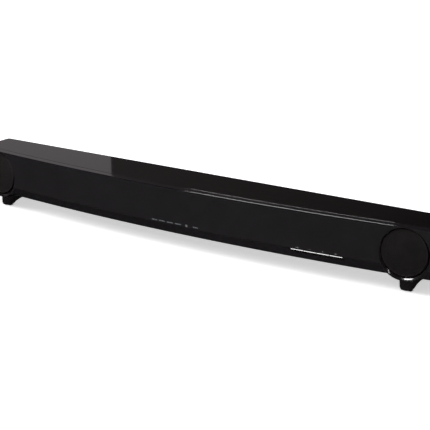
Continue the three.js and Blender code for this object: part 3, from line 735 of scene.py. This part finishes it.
def bottom_cover():
    """The base with its bass slots, the ring under the bass speaker and the board posts."""
    wall_cut = WALL * math.sqrt(2)
    start = SLOPE + wall_cut + GAP
    rear = REAR_INNER - GAP
    outline = [(start, BODY_BOTTOM), (rear, BODY_BOTTOM), (rear, FLOOR_Z), (start, FLOOR_Z)]
    base = bow_sweep("base", outline, steps=80, follows=lambda y: y < rear)
    centre = Matrix.Translation((BASS_X, BASS_Y, 0))
    combine(base, "UNION", moved(disc(BASS_SEAT_R, FLOOR_Z - 1, BASS_FACE_Z - GAP), centre))
    combine(base, "DIFFERENCE", moved(disc(LEDGE_BORE_R, FLOOR_Z, BASS_FACE_Z + 1), centre))
    for board in ("main_board", "power_board"):
        low, high = (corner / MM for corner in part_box(board))
        for x in (low.x + 6, high.x - 6):
            for y in (low.y + 6, high.y - 6):
                post = moved(disc(3, FLOOR_Z - 1, low.z - GAP, 32), Matrix.Translation((x, y, 0)))
                combine(base, "UNION", post)
    tools = []
    for i in range(-3, 4):
        x = BASS_X + i * 8.4
        reach = math.sqrt(30**2 - (i * 8.4) ** 2)
        near = (x - 2, BASS_Y - reach, BODY_BOTTOM - 3)
        tools.append(block(near, (x + 2, BASS_Y + reach, FLOOR_Z + 3)))
    for side in (-1, 1):
        hole = disc(1.8, BODY_BOTTOM - 3, FLOOR_Z + 3, 32)
        tools.append(moved(hole, Matrix.Translation((side * STAND_X, STAND_SCREW_Y, 0))))
    combine(base, "DIFFERENCE", *tools)
    softened(base, 0.3, 2)
    dress(base, "bottom_cover_look", MATTE, ["bottom_cover"])


# ---- Round speakers ----


def ring_trim(place, word):
    """A crescent bevel between two circles that aren't concentric, fullest at the bottom."""
    segments, steps = 160, 8
    circles = []
    for k in range(steps + 1):
        t = k / steps
        swell = 0.35 * math.sin(math.pi * t)
        radius = TRIM_R + (TRIM_BORE_R - TRIM_R) * t
        drop = TRIM_DROP + (0.1 - TRIM_DROP) * t
        circles.append((radius, drop, -0.1 + (0.1 - BEVEL_DEPTH) * t + swell))
    circles += [
        (TRIM_BORE_R, 0.1, -BEVEL_DEPTH - 0.4),
        (TRIM_BORE_R, 0.1, -TRIM_DEPTH),
        (TRIM_R, TRIM_DROP, -TRIM_DEPTH),
        (TRIM_R, TRIM_DROP, -0.3),
    ]
    rings = []
    for radius, drop, height in circles:
        angles = [2 * math.pi * i / segments for i in range(segments)]
        rings.append([(radius * math.cos(a), radius * math.sin(a) - drop, height) for a in angles])
    trim = moved(loft("trim", rings, wrap=True), place)
    dress(trim, word + "_ring_trim_look", EASED, [word + "_ring_trim"], angle=40)


def perforated_plate(radius, pitch=1.55, hole=0.45, sides=8):
    """A flat disc with a hexagonal pattern of round holes, as (x, y) points and triangles."""
    points, edges, centres = [], [], []

    def loop(x, y, size, count):
        start = len(points)
        for i in range(count):
            angle = 2 * math.pi * i / count
            points.append(Vector((x + size * math.cos(angle), y + size * math.sin(angle))))
            edges.append((start + i, start + (i + 1) % count))

    loop(0, 0, radius, 128)
    row_height = pitch * math.sqrt(0.75)
    rows = int(radius / row_height)
    for row in range(-rows, rows + 1):
        y = row * row_height
        columns = int(radius / pitch) + 1
        for column in range(-columns, columns + 1):
            x = (column + 0.5 * (row % 2)) * pitch
            if math.hypot(x, y) < radius - 1.0:
                loop(x, y, hole, sides)
                centres.append((x, y))
    flat, _, faces, _, _, _ = delaunay_2d_cdt(points, edges, [], 1, 1e-5)
    holes = {(round(x / pitch * 2), round(y / row_height)) for x, y in centres}
    kept = []
    for face in faces:
        middle = sum((flat[i] for i in face), Vector((0, 0))) / len(face)
        row = round(middle.y / row_height)
        column = round((middle.x / pitch - 0.5 * (row % 2)))
        x = (column + 0.5 * (row % 2)) * pitch
        cell = (round(x / pitch * 2), row)
        inside = math.hypot(middle.x - x, middle.y - row * row_height) < hole * 0.9
        if not (inside and cell in holes):
            kept.append(tuple(face))
    return flat, kept


PLATE_R = GRILLE_R - 0.9
PLATE = perforated_plate(PLATE_R)


def grille(place, word):
    """A shallow domed steel plate full of small holes, with a folded rim."""
    flat, faces = PLATE
    points = [(p.x, p.y, -0.6 - 0.7 * (p.length / PLATE_R) ** 2) for p in flat]
    plate = new_object("plate", points, faces)
    if plate.data.polygons[0].normal.z < 0:
        plate.data.flip_normals()
    thick = plate.modifiers.new("thickness", "SOLIDIFY")
    thick.thickness, thick.offset = 0.7, -1
    bpy.context.view_layer.update()
    shown = plate.evaluated_get(bpy.context.evaluated_depsgraph_get())
    solid = bpy.data.meshes.new_from_object(shown)
    plate.modifiers.clear()
    plate.data = solid
    low, rim_top = -TRIM_DEPTH - 0.3, -1.15
    profile = rounded(
        [
            (GRILLE_R - 1.5, rim_top, 0.2),
            (GRILLE_R, rim_top - 0.35, 0.5),
            (GRILLE_R, low, 0.2),
            (GRILLE_R - 1.2, low, 0.2),
            (GRILLE_R - 1.2, rim_top - 1.2, 0),
            (GRILLE_R - 1.5, rim_top - 1.0, 0),
        ],
        3,
    )
    joined(plate, lathe("rim", [tuple(p) for p in profile], 128))
    moved(plate, place)
    dress(plate, word + "_driver_grille_look", GRILLE, [word + "_driver_grille"])


def driver(prefix, place):
    """One moving-coil driver. Heights run down from the mounting face at 0 to the magnet."""
    basket = [
        (31.5, 0, 0.2),
        (31.5, -9, 1),
        (20.5, -21, 1),
        (13.6, -21, 0),
        (13.6, -23, 0),
        (21.5, -23, 1.5),
        (34, -10, 2),
        (36.5, -3, 0.5),
        (36.5, 0, 0.4),
    ]
    surround = [
        (25.3, -1.2, 0),
        (26.2, 0.4, 0.8),
        (28, 1.1, 2),
        (29.8, 0.4, 0.8),
        (31.1, -1.2, 0.2),
        (31.1, -2.4, 0.2),
        (29.8, -1.2, 0.8),
        (28, -0.3, 2),
        (26.2, -1.2, 0.8),
        (25.3, -3, 0),
    ]
    magnet = [
        (0, -16, 0),
        (11, -16, 0.4),
        (11, -35, 0),
        (13.4, -35, 0),
        (13.4, -23.3, 0.3),
        (22, -23.3, 0.6),
        (22, -38, 1),
        (0, -38, 0),
    ]
    cone = [
        (25, -2.2, 0),
        (25, -3.2, 0),
        (12.6, -12.5, 0.3),
        (12.6, -25, 0),
        (11.8, -25, 0),
        (11.8, -11.5, 0.3),
        (23.5, -2.2, 0),
    ]
    cap = [
        (0, -4.6, 0),
        (6, -5.4, 8),
        (11, -7.6, 6),
        (13.5, -9.6, 0),
        (12.4, -9.6, 0),
        (10.4, -8.4, 6),
        (5.6, -6.4, 8),
        (0, -5.6, 0),
    ]
    moving = prefix.replace("_driver", "_cone")
    rows = [
        ("basket", basket, BASKET, "basket_steel", "case"),
        ("magnet", magnet, MAGNET, "magnet", "case"),
        ("cone", cone, PAPER, "cone_paper", moving),
        ("dust_cap", cap, PAPER, "cone_paper", moving),
        ("surround", surround, RUBBER, "rubber", moving),
    ]
    for part, corners, look, slot, body in rows:
        profile = [tuple(p) for p in rounded(corners, 4)]
        shape = moved(lathe(part, profile, 96), place)
        dress(shape, f"{prefix}_{part}_look", look, [f"{prefix}_{part}"], body)


def bass_port():
    """A tube that flares smoothly to its mouth."""
    outer, inner = [], []
    steps = 10
    for k in range(steps + 1):
        t = k / steps
        ease = 1 - math.sqrt(1 - (1 - t) ** 2)
        inner.append((PORT_BORE + (PORT_FLARE - 1.6 - PORT_BORE) * ease, -9 * t))
        outer.append((PORT_BORE + 2 + (PORT_FLARE - PORT_BORE - 2) * ease, -1.2 - 9 * t))
    profile = [
        *reversed(inner),
        (PORT_FLARE - 1.0, 0),
        (PORT_FLARE, -0.3),
        *outer,
        (PORT_BORE + 2, -PORT_LENGTH),
        (PORT_BORE, -PORT_LENGTH),
    ]
    place = Matrix.Translation((PORT_X, REAR_Y, PORT_Z)) @ Matrix.Rotation(-math.pi / 2, 4, "X")
    tube = moved(lathe("port", profile, 96), place)
    dress(tube, "bass_port_look", MATTE, ["bass_port"])


# ---- Stands ----


def stand_underside(y):
    """Height of the stand's underside: two rounded toes and the arch between them."""
    start, end = STAND_FRONT_Y + TOE, STAND_REAR_Y - TOE
    t = (y - start) / (end - start)
    arch = (ARCH_TOP - SOLE_Z) * 4 * t * (1 - t) if 0 < t < 1 else 0
    toe_r = 1.6
    from_front = y - (STAND_FRONT_Y - STAND_NOSE)
    from_rear = STAND_REAR_Y - y
    curl = 0
    for distance in (from_front, from_rear):
        if distance < toe_r:
            curl = toe_r - math.sqrt(max(0, toe_r**2 - (toe_r - distance) ** 2))
    return SOLE_Z + arch + curl


def stand_half_width(y):
    """Half width in plan: a round nose in front and eased corners behind."""
    radius = (STAND_HALF**2 + STAND_NOSE**2) / (2 * STAND_NOSE)
    from_centre = y - (STAND_FRONT_Y - STAND_NOSE + radius)
    half = math.sqrt(max(0.6, radius**2 - from_centre**2)) if y < STAND_FRONT_Y else STAND_HALF
    rear_r = 1.2
    past = y - (STAND_REAR_Y - rear_r)
    if past > 0:
        half -= rear_r - math.sqrt(max(0, rear_r**2 - past**2))
    return min(half, STAND_HALF)


def stand(side, word):
    x = side * STAND_X
    drum_rear = front_y(RING_X) + SLOPE + 2
    drum_bottom = RING_Z - DRUM_R - GAP
    nose = STAND_FRONT_Y - STAND_NOSE
    front = [nose + 0.15 + 3.6 * (k / 10) ** 2 for k in range(11)]
    middle = [front[-1] + (drum_rear - front[-1]) * k / 12 for k in range(1, 13)]
    rear = [drum_rear + 0.01 + (STAND_REAR_Y - 1.3 - drum_rear) * k / 30 for k in range(31)]
    end = [STAND_REAR_Y - 1.2 + 1.15 * math.sin(k * math.pi / 10) for k in range(1, 6)]
    rings = []
    for y in front + middle + rear + end:
        top = drum_bottom if y <= drum_rear else BODY_BOTTOM - GAP
        half = stand_half_width(y)
        low = stand_underside(y)
        foot = max(0.4, half - 1.1)
        corner = min(3.8, foot * 0.85, (top - low) * 0.48)
        outline = [(-half, top, 0.25), (-foot, low, corner), (foot, low, corner), (half, top, 0.25)]
        section = rounded(outline, 6)
        rings.append([(x + u, y, v) for u, v in section])
    shape = loft("stand", rings)
    for radius, height in ((1.8, 40), (4.0, SCREW_SEAT_Z)):
        hole = moved(disc(radius, -5, height, 48), Matrix.Translation((x, STAND_SCREW_Y, 0)))
        combine(shape, "DIFFERENCE", hole)
    dress(shape, word + "_stand_look", EASED, [word + "_stand"], angle=40)


def pad(word, which):
    """A rubber pad under a toe, with rounded edges."""
    node = f"{word}_{which}_pad"
    shape = softened(cad_copy(node), 0.35, 3)
    dress(shape, node + "_look", RUBBER, [node])


def screw(node, place, length, head_r):
    """A pan-head screw with a cross recess. Local Z runs along the shank from the seat at 0."""
    head = [(0, -2, 0), (head_r * 0.7, -1.85, 1.5), (head_r, -0.3, 0.5), (head_r, 0, 0)]
    shank = [(1.5, 0, 0.1), (1.5, length - 1.5, 0.3), (0, length, 0)]
    profile = rounded(head + shank, 4)
    shape = lathe("screw", [tuple(p) for p in profile], 48)
    for turn in (0, math.pi / 2):
        arm = block((-head_r * 0.55, -0.4, -3), (head_r * 0.55, 0.4, -1.0))
        combine(shape, "DIFFERENCE", moved(arm, Matrix.Rotation(turn, 4, "Z")))
    moved(shape, place)
    dress(shape, node + "_look", STEEL, [node])


# ---- Keys, marks and lenses ----


def key(node, x):
    half_w, half_h = (KEY_PITCH - 0.5) / 2, KEY_HEIGHT / 2
    root, edge = -2.8, 0.35
    outline = [
        (-half_h, root, 0),
        (-half_h, KEY_PROUD, edge),
        (half_h, KEY_PROUD, edge),
        (half_h, root, 0),
    ]
    section = rounded(outline, 4)
    rings = [[(u, v, w) for v, w in section] for u in (-half_w, half_w)]
    cap = softened(loft("key", rings), 0.22, 2, 50)
    joined(cap, block((-1.5, -1.5, -6), (1.5, 1.5, -2.5)))
    moved(cap, slope_frame(x, KEY_FROM_CREASE))
    dress(cap, node + "_look", GLOSS, [node], node)


def light_guide():
    """The clear bar behind the panel, with one prong that fills each mark."""
    low, high = (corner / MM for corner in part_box("indicator_light_guide"))
    bar_y = front_y(0) + WALL + 1.2
    bar = block((low.x, bar_y, MARK_Z - 2.5), (high.x, high.y, MARK_Z + 2.5))
    for x, width, height in MARKS:
        w, h = width / 2, height / 2
        near = (x - w, front_y(x) + 0.1, MARK_Z - h)
        combine(bar, "UNION", block(near, (x + w, bar_y + 1, MARK_Z + h)))
    softened(bar, 0.1, 2)
    dress(bar, "indicator_light_guide_look", CLEAR, ["indicator_light_guide"])


def lens(node, x):
    outline = [(0, -5, 0), (LENS_R, -5, 0.1), (LENS_R, -0.25, 0.5), (0.6, 0.0, 1), (0, 0.02, 0)]
    profile = rounded(outline, 4)
    shape = moved(lathe("lens", [tuple(p) for p in profile], 40), slope_frame(x, LENS_DOWN))
    dress(shape, node + "_look", LENS, [node])


def flat_print(name, outlines, x, z):
    """Ink on the front face: each outline is a closed list of (u, v) points about (x, z)."""
    shapes = []
    for outline in outlines:
        rings = [
            [(x + u, front_y(x + u) + depth, z + v) for u, v in outline] for depth in (-0.03, 0.2)
        ]
        shapes.append(loft("ink", rings))
    dress(joined(*shapes), name, INK)


def bar_outline(x0, z0, x1, z1):
    return [(x0, z0), (x1, z0), (x1, z1), (x0, z1)]


def arc_outline(radius, thick, start, end, steps=14):
    angles = [math.radians(start + (end - start) * k / steps) for k in range(steps + 1)]
    outer = [(radius * math.cos(a), radius * math.sin(a)) for a in angles]
    bore = radius - thick
    inner = [(bore * math.cos(a), bore * math.sin(a)) for a in reversed(angles)]
    return outer + inner


def key_icons():
    """Plain symbols over the keys: an arrow into a box, minus, plus, and the power sign."""
    centres = key_centres()
    line = 0.28
    icon_z = 41.2
    arrow = [
        bar_outline(-2.4, -line / 2, 0.8, line / 2),
        [(0.5, 0.8), (1.5, 0), (0.5, -0.8)],
        bar_outline(2.0, -1.1, 2.3, 1.1),
    ]
    minus = [bar_outline(-1.1, -line / 2, 1.1, line / 2)]
    plus = [bar_outline(-1.1, -line / 2, 1.1, line / 2), bar_outline(-line / 2, -1.1, line / 2, 1.1)]
    power = [arc_outline(1.15, line, 125, 415), bar_outline(-line / 2, 0.1, line / 2, 1.35)]
    symbols = {"input": arrow, "minus": minus, "plus": plus, "power": power}
    for x, (name, outlines) in zip(centres, symbols.items()):
        flat_print(name + "_symbol", outlines, x, icon_z)


# ---- Inside ----


def plain_copies():
    """Pieces whose frame shape is right: the same shape with softened edges and a real finish."""
    top = (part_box("main_board")[0].z / MM + 1.65) * MM
    boards = circuit_board("circuit_board_with_parts", top)
    rows = [
        ("left_chamber_wall", MATTE, "matte_black"),
        ("right_chamber_wall", MATTE, "matte_black"),
        ("bass_chamber_wall", MATTE, "matte_black"),
        ("key_board", BOARD_GREEN, "circuit_board"),
        ("indicator_board", BOARD_GREEN, "circuit_board"),
        ("main_board", boards, "circuit_board"),
        ("power_board", boards, "circuit_board"),
        ("amplifier_heatsink", ALUMINIUM, "heatsink_aluminium"),
        ("power_transformer", STEEL, "steel"),
        ("optical_input_1", SOCKET, "socket_black"),
        ("optical_input_2", SOCKET, "socket_black"),
        ("ac_inlet", SOCKET, "socket_black"),
    ]
    for node, look, slot in rows:
        dress(softened(cad_copy(node), 0.25, 2), node + "_look", look, [node])


def phono_socket(node, offsets):
    """A black block with one turned metal sleeve, and a coloured ring round it, for each offset."""
    low, high = (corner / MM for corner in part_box(node))
    floor_y = REAR_Y - RECESS_DEPTH
    x, z = (low.x + high.x) / 2, (low.z + high.z) / 2
    body = softened(block((low.x, low.y, low.z), (high.x, floor_y + 1, high.z)), 0.4, 2)
    dress(body, node + "_block", SOCKET, [node])
    sleeve = rounded([(1.7, 9.5, 0), (4.2, 9.5, 0.5), (4.2, 0.5, 0), (1.7, 0.5, 0)], 4)
    collar = rounded([(4.3, 1.0, 0), (6.2, 1.0, 0), (6.2, 2.0, 0.4), (4.3, 2.0, 0.2)], 3)
    for i, (dz, ring) in enumerate(offsets):
        out = Matrix.Translation((x, floor_y, z + dz)) @ Matrix.Rotation(-math.pi / 2, 4, "X")
        shape = moved(lathe("sleeve", [tuple(p) for p in sleeve], 48), out)
        dress(shape, f"{node}_sleeve_{i}", SOCKET_METAL)
        shape = moved(lathe("collar", [tuple(p) for p in collar], 48), out)
        dress(shape, f"{node}_collar_{i}", ring)


def leads():
    """The two speaker leads, kept as the frame made them, with a soft sheath finish."""
    for node in ("left_speaker_lead", "right_speaker_lead"):
        lead = cad_copy(node)
        smooth = lead.modifiers.new("round", "SUBSURF")
        smooth.levels = smooth.render_levels = 1
        dress(lead, node + "_look", SHEATH, [node], angle=50)


# ---- Assembly ----

top_panel()
front_panel()
rear_cover()
bottom_cover()
for side, word in ((-1, "left"), (1, "right")):
    place = speaker_frame(side)
    behind_ledge = Matrix.Translation((0, 0, -TRIM_DEPTH - 0.6 - LEDGE - GAP))
    end_cap(side, word)
    ring_trim(place, word)
    grille(place, word)
    driver(word + "_driver", place @ behind_ledge)
    stand(side, word)
    pad(word, "front")
    pad(word, "rear")
    seat = Matrix.Translation((side * STAND_X, STAND_SCREW_Y, SCREW_SEAT_Z - GAP))
    screw(word + "_stand_screw", seat, 14, 3.4)
for word, x in REAR_SCREWS:
    seat = Matrix.Translation((x, REAR_SCREW_SEAT + GAP, REAR_SCREW_Z))
    screw(word + "_rear_screw", seat @ Matrix.Rotation(math.pi / 2, 4, "X"), 9, 3.2)
bass_port()
bass_place = Matrix.Translation((BASS_X, BASS_Y, BASS_FACE_Z))
driver("bass_driver", bass_place @ Matrix.Rotation(math.pi, 4, "X"))
for node, x in zip(KEYS, key_centres()):
    key(node, x)
light_guide()
for node, x in LENSES:
    lens(node, x)
key_icons()
plain_copies()
phono_socket("analogue_input", [(-8, RED_RING), (8, WHITE_RING)])
phono_socket("subwoofer_output", [(0, SOCKET)])
leads()


# ---- Floor, light and camera ----

GLOW_WAY = (-0.703, 0.673, 0.231)


def floor():
    look = Look("floor")
    look.color(look.mixed(look.ranged(look.noise(3), 0, 1), (0.9, 0.9, 0.9), (0.93, 0.93, 0.93)))
    look.rough(look.noise(8), 0.75, 0.9)
    look.shader.inputs["Emission Color"].default_value = (1, 1, 1, 1)
    look.shader.inputs["Emission Strength"].default_value = 0.55
    size = 30
    corners = [(-size, -size, 0), (size, -size, 0), (size, size, 0), (-size, size, 0)]
    made = new_object("floor", corners, [(0, 1, 2, 3)])
    made.data.materials.append(look.material)
    made.visible_glossy = False


def softbox(name, centre, target, width, height, radiance):
    """A rectangular light at centre that faces target, given by the brightness of its surface."""
    data = bpy.data.lights.new(name, "AREA")
    data.shape, data.size, data.size_y = "RECTANGLE", width, height
    data.energy = radiance * math.pi * width * height
    light = bpy.data.objects.new(name, data)
    light.location = centre
    light.rotation_euler = (Vector(target) - Vector(centre)).to_track_quat("-Z", "Y").to_euler()
    light.visible_camera = light.visible_diffuse = False
    bpy.context.scene.collection.objects.link(light)
    return light


def world():
    """White to the camera, soft to diffuse light, nearly dark to reflections but for one glow."""
    made = bpy.data.worlds.new("studio")
    bpy.context.scene.world = made
    made.use_nodes = True
    nodes, links = made.node_tree.nodes, made.node_tree.links
    path = nodes.new("ShaderNodeLightPath")

    def mixed(factor, first, second):
        mix = nodes.new("ShaderNodeMix")
        mix.data_type = "RGBA"
        for socket, value in ((mix.inputs[6], first), (mix.inputs[7], second)):
            if isinstance(value, tuple):
                socket.default_value = (*value, 1)
            else:
                links.new(value, socket)
        links.new(factor, mix.inputs[0])
        return mix.outputs[2]

    around = nodes.new("ShaderNodeVectorMath")
    around.operation = "DOT_PRODUCT"
    around.inputs[1].default_value = GLOW_WAY
    links.new(nodes.new("ShaderNodeTexCoord").outputs["Generated"], around.inputs[0])
    near = nodes.new("ShaderNodeMapRange")
    near.inputs["From Min"].default_value = 0.925
    near.inputs["From Max"].default_value = 0.995
    links.new(around.outputs["Value"], near.inputs["Value"])
    reflected = mixed(near.outputs["Result"], (0.003, 0.0026, 0.0026), (0.049, 0.042, 0.043))
    soft = mixed(path.outputs["Is Camera Ray"], (0.45, 0.45, 0.45), (1.0, 1.0, 1.0))
    shown = mixed(path.outputs["Is Glossy Ray"], soft, reflected)
    links.new(shown, nodes["Background"].inputs["Color"])


def camera():
    data = bpy.data.cameras.new("camera")
    data.lens, data.sensor_width = 111.53, 36.0
    data.clip_start, data.clip_end = 0.05, 100
    made = bpy.data.objects.new("camera", data)
    made.location = (1.2032, -1.6283, 0.6458)
    pitch, yaw, roll = math.radians(16.612), math.radians(35.455), math.radians(-0.315)
    level = Matrix.Rotation(yaw, 3, "Z") @ Matrix.Rotation(math.pi / 2 - pitch, 3, "X")
    made.rotation_euler = (level @ Matrix.Rotation(roll, 3, "Z")).to_euler()
    bpy.context.scene.collection.objects.link(made)
    bpy.context.scene.camera = made


def sun(way, strength, width):
    """Even light from one side of the room. It isn't seen in reflections."""
    data = bpy.data.lights.new("window", "SUN")
    data.energy, data.angle = strength, math.radians(width)
    light = bpy.data.objects.new("window", data)
    light.rotation_euler = (-Vector(way)).to_track_quat("-Z", "Y").to_euler()
    light.visible_glossy = False
    bpy.context.scene.collection.objects.link(light)


def lighting():
    """Softboxes overhead, brightest in the middle, a slim one at the right, a panel at the left."""
    sun((-0.75, -0.22, 0.62), 2.5, 40)
    for share in (1.0, 0.7, 0.4):
        softbox("overhead", (-0.47, -0.60, 1.3), (-0.47, -0.5, 0), 0.80 * share, 0.50, 30)
    softbox("overhead_right", (1.3, -0.64, 1.3), (1.2, -0.6, 0), 0.9, 0.09, 20)
    away = Vector((-0.6434, 0.7655, 0)).normalized()
    along = Vector((-away.y, away.x, 0))
    width, height = 2.4, 1.6
    right_edge = Vector((-0.165, 0.0, 0)) + away * 1.5
    centre = right_edge + along * width / 2 + Vector((0, 0, 0.2 + height / 2))
    panel = softbox("left_panel", centre, centre - away, width, height, 0.235)
    panel.data.color = (1.03, 0.975, 1.015)


floor()
world()
lighting()
camera()
bpy.context.scene.view_settings.view_transform = "Standard"
